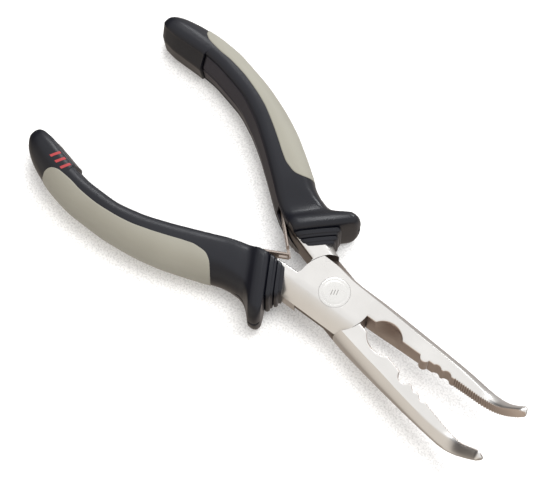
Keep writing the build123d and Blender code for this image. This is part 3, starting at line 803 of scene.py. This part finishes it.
class Station:
    """One cross-section of the grip, with its place in plan and its outline."""

    def __init__(self, place):
        row = smooth_table(GRIP_TABLE, place)[0]
        self.place = place
        self.inner, self.outer = row[:2], row[2:4]
        self.width = float(np.linalg.norm(self.outer - self.inner))
        self.across = (self.outer - self.inner) / self.width
        self.top, self.bottom, self.crease, self.round, self.power = row[4:]
        self.middle = (self.top + self.bottom) / 2
        self.inset = END_STEP * smooth_step(place, *STEP_RISE) if place < STRIP_END else 0.0

    def at(self, outline):
        """Points (across, z) of this section in the half frame."""
        outline = np.asarray(outline, float)
        plan = self.inner + self.across * outline[:, :1]
        return np.concatenate([plan, outline[:, 1:]], axis=1)

    def half_outline(self, recess=0.0, low=False):
        """Half of the outline, from the inner ridge over the top to the outermost point. With low
        it has the smaller crease of the underside."""
        high, width = self.top - self.middle, self.width
        crease = min(self.crease, 0.3 * width) * (LOW_CREASE if low else 1.0)
        roll, roll_drop = min(ROLL, 0.25 * width), min(ROLL_DROP, 0.12 * high)
        edge_z = self.top - roll_drop
        crease = crease + self.inset
        ridge = np.array([recess + self.inset, self.middle])
        corner = np.array([crease + 0.55 * recess, edge_z - 0.5])
        facet = ridge + (corner - ridge) * np.linspace(0, 1, FACET_POINTS)[:, None]
        turn = np.linspace(0.12, pi / 2, 9)
        shoulder = np.stack([crease + roll * (1 - np.cos(turn)), edge_z + roll_drop * np.sin(turn)],
                            axis=-1)
        reach = min(self.round, width - crease - roll - 0.05)
        level = np.linspace(crease + roll, width - reach, 9)[1:-1]
        flat = np.stack([level, np.full(len(level), self.top)], axis=-1)
        turn = np.linspace(0, pi / 2, 19)
        turn = np.concatenate([turn[:-3], np.linspace(turn[-3], pi / 2, 9)])
        outer = np.stack([width - reach + reach * np.sin(turn) ** (2 / self.power),
                          self.middle + high * np.cos(turn) ** (2 / self.power)], axis=-1)
        points = np.concatenate([facet, shoulder, flat, outer])
        off_middle = (points[:, 0] / width - CROWN_PEAK) / (1 - CROWN_PEAK)
        crown = 1 - TOP_CROWN * off_middle**2
        points[:, 1] = self.middle + (points[:, 1] - self.middle) * crown
        return points

    def outline(self, recess=0.0, groove=0.0):
        """The whole outline, with a groove round the outer side at its middle height."""
        halves = [self.half_outline(recess), self.half_outline(recess, True)]
        for points in halves:
            near = np.exp(-((points[:, 1] - self.middle) / GROOVE_WIDTH) ** 2)
            points[:, 0] -= groove * near * (points[:, 0] > self.width / 2)
        upper, lower = halves[0], halves[1][1:-1][::-1]
        return np.concatenate([upper, self.flip(lower)])

    def flip(self, points):
        """The same points on the other side of the section's middle height."""
        return np.stack([points[:, 0], 2 * self.middle - points[:, 1]], axis=-1)


def make_shell(half, side):
    """The soft rubber, sunk between its two creases where the inner strip lies."""
    rings = []
    for place in places_along(GRIP_RUNS, STRIP_START, STRIP_END, GRIP_END):
        station = Station(place)
        inside = smooth_step(place, STRIP_START, STRIP_START + 0.5) * (place < STRIP_END)
        guard = smooth_step(place, *GROOVE_START) * (1 - smooth_step(place, *GROOVE_END))
        rings.append(station.at(station.outline(STRIP_RECESS * inside, GROOVE * guard)))
    shell = solid(f"{half}_grip_rubber", rings, side, 42)
    cut(shell, spring_slot(side))
    tidy(shell, 42)
    finish_piece(shell, f"{half}_half", "dark_rubber", [dark_rubber], f"{half}_grip_shell")


SLOT_CORNERS = [(-33.0, 2.0), (-33.2, -7.4), (-31.0, -8.0), (-24.0, -5.2), (-12.0, -4.2), (-12.0, 2.0)]
SLOT_LOW, SLOT_HIGH = 2.4, 7.6


def spring_slot(side):
    """The opening that the leaf spring swings in."""
    return prism("slot", SLOT_CORNERS, SLOT_LOW, SLOT_HIGH, side)


def patch(name, stations, outlines, side, lift, depth, edge, sharp=42):
    """A closed skin over a grip. Each outline is an open run of (across, z) points on its surface."""
    rings = []
    first, last = stations[0].place, stations[-1].place
    for station, points in zip(stations, outlines):
        along = np.gradient(points, axis=0)
        along /= np.maximum(np.linalg.norm(along, axis=1), 1e-9)[:, None]
        normal = np.stack([-along[:, 1], along[:, 0]], axis=-1)
        length = running_length(points)
        from_edge = np.minimum(length, length[-1] - length)
        from_end = min(station.place - first, last - station.place)
        rise = np.minimum(smooth_rise(from_edge, edge), smooth_rise(from_end, edge))
        top = points + normal * (lift * rise - depth * EDGE_SINK * (1 - rise))[:, None]
        base = points[::-1] - normal[::-1] * depth
        rings.append(station.at(np.concatenate([top, base])))
    return solid(name, rings, side, sharp)


def inlay_line():
    """Place along the grip and width across it of the inlay's edge on the top face."""
    edge = np.array(INLAY_EDGE)
    key = running_length(edge)
    points = smooth_table(np.column_stack([key, edge]), np.linspace(0, key[-1], 500))
    stations = [Station(p) for p in np.linspace(10, 88, 400)]
    starts = np.array([s.inner for s in stations])
    ways = np.array([s.across for s in stations])
    found = []
    for point in points:
        gap = point - starts
        cross = ways[:, 0] * gap[:, 1] - ways[:, 1] * gap[:, 0]
        turn = np.nonzero(np.diff(np.sign(cross)))[0]
        if len(turn):
            i = turn[0]
            share = cross[i] / (cross[i] - cross[i + 1])
            place = stations[i].place + share * (stations[i + 1].place - stations[i].place)
            found.append((place, float(np.dot(gap[i], ways[i]))))
    found = np.array(found)
    return found[np.argsort(found[:, 0])]


INLAY_ENDS = np.array([0, 0.1, 0.2, 0.3, 0.45, 0.7, 1.0, 1.4, 1.9, 2.5, 3.2, 4.0])
INLAY_SIDES = np.array([0, 0.1, 0.22, 0.36, 0.5])
STRIP_SIDES = np.array([0.42, 0.52, 0.64, 0.78, 0.95])


def make_inlay(half, side):
    """The pale rubber round the outer side of the grip, with its edge along INLAY_EDGE."""
    line = inlay_line()
    first, last = line[0, 0], line[-1, 0]
    places = np.concatenate([first + INLAY_ENDS, np.arange(first + 5, last - 5, 0.7), last - INLAY_ENDS])
    stations, outlines = [], []
    for place in np.unique(places):
        station = Station(place)
        width = min(float(np.interp(place, line[:, 0], line[:, 1])), station.width - 0.3)
        upper = station.half_outline()
        upper = upper[np.argmax(upper[:, 0] > station.crease + 1):]
        crossing = np.interp(width, upper[:, 0], np.arange(len(upper)))
        i = int(crossing)
        start = upper[i] + (upper[min(i + 1, len(upper) - 1)] - upper[i]) * (crossing - i)
        half_run = np.concatenate([[start], upper[i + 1:]])
        run = np.concatenate([half_run, station.flip(half_run[:-1][::-1])])
        length = np.linalg.norm(np.diff(run, axis=0), axis=1).sum()
        middle = np.linspace(0.7, length - 0.7, 44)
        at = np.concatenate([INLAY_SIDES, middle, length - INLAY_SIDES[::-1]])
        outlines.append(spread(run, at))
        stations.append(station)
    name = f"{half}_grip_pale_inlay"
    inlay = patch(name, stations, outlines, side, INLAY_LIFT, INLAY_DEPTH, INLAY_ROUND)
    finish_piece(inlay, f"{half}_half", "pale_rubber", [pale_rubber], f"{half}_grip_inlay")


def make_strip(half, side):
    """The bare inner side of the hard core, standing between the rubber's two creases."""
    stations, outlines = [], []
    for place in np.unique(np.concatenate([np.arange(*run) for run in STRIP_RUNS])):
        station = Station(place)
        upper = station.half_outline()[:FACET_POINTS]
        lower = station.flip(station.half_outline(low=True)[1:FACET_POINTS][::-1])
        run = np.concatenate([lower, upper])
        length = running_length(run)[-1]
        middle = np.linspace(1.1, length - 1.1, 61)
        at = np.concatenate([STRIP_SIDES, middle, length - STRIP_SIDES[::-1]])
        points = spread(run, at)
        seam = np.exp(-((points[:, 1] - station.middle) / SEAM_WIDTH) ** 2)
        points[:, 0] += SEAM_HEIGHT * smooth_step(place, *SEAM_RISE) * seam
        outlines.append(points)
        stations.append(station)
    name = f"{half}_grip_inner_strip"
    strip = patch(name, stations, outlines, side, 0.0, STRIP_DEPTH, STRIP_ROUND)
    cut(strip, spring_slot(side), True)
    tidy(strip, 42)
    finish_piece(strip, f"{half}_half", "core_plastic", [core_plastic], f"{half}_grip_core")


# The printed strokes: place of the first, distance between them, and one stroke's start and run
# along the grip and across it. Its section is (along, height) from its middle line.
PRINT_PLACE, PRINT_PITCH = 74.3, 2.5
PRINT_BACK, PRINT_RUN = 0.9, 1.2
PRINT_ACROSS, PRINT_WIDTH = 3.0, 3.2
PRINT_SECTION = ((-0.45, 0.05), (0.45, 0.05), (0.45, -0.1), (-0.45, -0.1))


def make_print():
    """Three slanted strokes printed near the end of the upper half's grip, in place of a name."""
    strokes = []
    for number in range(3):
        middle = PRINT_PLACE + PRINT_PITCH * number
        rings = []
        for share in np.linspace(0, 1, 13):
            place = middle - PRINT_BACK + PRINT_RUN * share
            across = PRINT_ACROSS + PRINT_WIDTH * share
            upper = Station(place).half_outline()[FACET_POINTS:]
            z = np.interp(across, upper[:, 0], upper[:, 1])
            ring = []
            for shift, lift in PRINT_SECTION:
                near = Station(place + shift)
                ring.append([*(near.inner + near.across * across), z + lift])
            rings.append(ring)
        strokes.append(solid(f"print_{number}", rings, 1, 40))
    mark = join(strokes, "upper_grip_printed_strokes")
    finish_piece(mark, "upper_half", "dark_rubber", [red_print])


# ---------------------------------- build

make_pivot()
for half, side in (("upper", 1), ("lower", -1)):
    make_lever(half, side)
    make_spring(half, side)
    make_shell(half, side)
    make_strip(half, side)
    make_inlay(half, side)
    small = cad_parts[f"{half}_spring_rivet"]
    small.data.materials.clear()
    small.data.materials.append(spring_steel)
make_print()


# ---------------------------------- stage, light and camera

FLOOR_GAP = 0.0001
FLOOR_REACH = 3.0


def make_floor(z):
    reach = FLOOR_REACH
    corners = [(-reach, -reach, z), (reach, -reach, z), (reach, reach, z), (-reach, reach, z)]
    mesh = bpy.data.meshes.new("floor")
    mesh.from_pydata(corners, [], [(0, 1, 2, 3)])
    floor = bpy.data.objects.new("floor", mesh)
    bpy.context.scene.collection.objects.link(floor)
    floor.data.materials.append(floor_paint)
    floor.visible_glossy = False


def area_light(name, place, target, size, power, colour, in_gloss=True):
    """A round soft light. in_gloss says whether it shows in reflections."""
    data = bpy.data.lights.new(name, "AREA")
    data.shape = "DISK"
    data.size = size
    data.energy = power
    data.color = colour
    light = bpy.data.objects.new(name, data)
    light.visible_glossy = in_gloss
    bpy.context.scene.collection.objects.link(light)
    light.location = place
    light.rotation_euler = (Vector(target) - Vector(place)).to_track_quat("-Z", "Y").to_euler()


WORLD_TILT = radians(-16)
# Colours along three axes of the surround, each from 0 at its low end to 1 at its high end.
WORLD_HEIGHT = [(0.0, (0.47, 0.42, 0.39)), (0.25, (0.42, 0.405, 0.395)), (0.36, (0.62, 0.60, 0.58)),
                (0.44, (0.90, 0.89, 0.88)), (0.60, (1.0, 1.0, 1.0))]
WORLD_WARMTH = [(0.26, (0.80, 0.745, 0.675)), (0.55, (1, 1, 1))]
WORLD_SHADE = [(0.06, (0.16, 0.155, 0.16)), (0.2, (1, 1, 1))]


def make_world(strength):
    """Pale studio surround: white overhead, greyer below, warmer towards -Y and dark at -X."""
    world = bpy.data.worlds.new("studio")
    bpy.context.scene.world = world
    world.use_nodes = True
    nodes, links = world.node_tree.nodes, world.node_tree.links
    nodes.clear()
    out = nodes.new("ShaderNodeOutputWorld")
    back = nodes.new("ShaderNodeBackground")
    place = nodes.new("ShaderNodeTexCoord")
    tilt = nodes.new("ShaderNodeMapping")
    tilt.inputs["Rotation"].default_value = (WORLD_TILT, 0, 0)
    links.new(place.outputs["Generated"], tilt.inputs["Vector"])
    parts = nodes.new("ShaderNodeSeparateXYZ")
    links.new(tilt.outputs["Vector"], parts.inputs["Vector"])
    colours = []
    for axis, stops in (("Z", WORLD_HEIGHT), ("Y", WORLD_WARMTH), ("X", WORLD_SHADE)):
        level = nodes.new("ShaderNodeMapRange")
        level.inputs["From Min"].default_value = -1.0
        links.new(parts.outputs[axis], level.inputs["Value"])
        colours.append(ramp(nodes, links, level.outputs["Result"], stops))
    height, warmth, shade = colours
    colour = multiply(nodes, links, multiply(nodes, links, height, warmth), shade)
    links.new(colour, back.inputs["Color"])
    back.inputs["Strength"].default_value = strength
    links.new(back.outputs["Background"], out.inputs["Surface"])


CAMERA_PLACE = Vector((124.47, -147.17, 508.6)) * MM
CAMERA_TARGET = Vector((-24.2, -0.9, 10.0)) * MM
CAMERA_LENS = 118.1
CAMERA_SENSOR = 36


def make_camera():
    data = bpy.data.cameras.new("camera")
    data.sensor_width = CAMERA_SENSOR
    data.lens = CAMERA_LENS
    data.clip_start = 0.01
    camera = bpy.data.objects.new("camera", data)
    bpy.context.scene.collection.objects.link(camera)
    camera.location = CAMERA_PLACE
    camera.rotation_euler = (CAMERA_TARGET - CAMERA_PLACE).to_track_quat("-Z", "Y").to_euler()
    bpy.context.scene.camera = camera


make_floor(cad_box[0][2] - FLOOR_GAP)
make_world(1.18)
area_light("key", (0.04, 0.19, 0.82), (-0.02, 0, 0), size=0.44, power=4.4,
           colour=(1.0, 0.99, 0.97), in_gloss=False)
area_light("rim", (-0.25, 0.90, 0.30), (-0.03, 0, 0), size=0.3, power=2.2, colour=(0.96, 0.98, 1.0))
area_light("soft", (-0.42, 0.42, 0.60), (-0.03, 0, 0), size=0.2, power=1.0, colour=(0.96, 0.98, 1.0))
make_camera()
bpy.context.scene.view_settings.view_transform = "Standard"
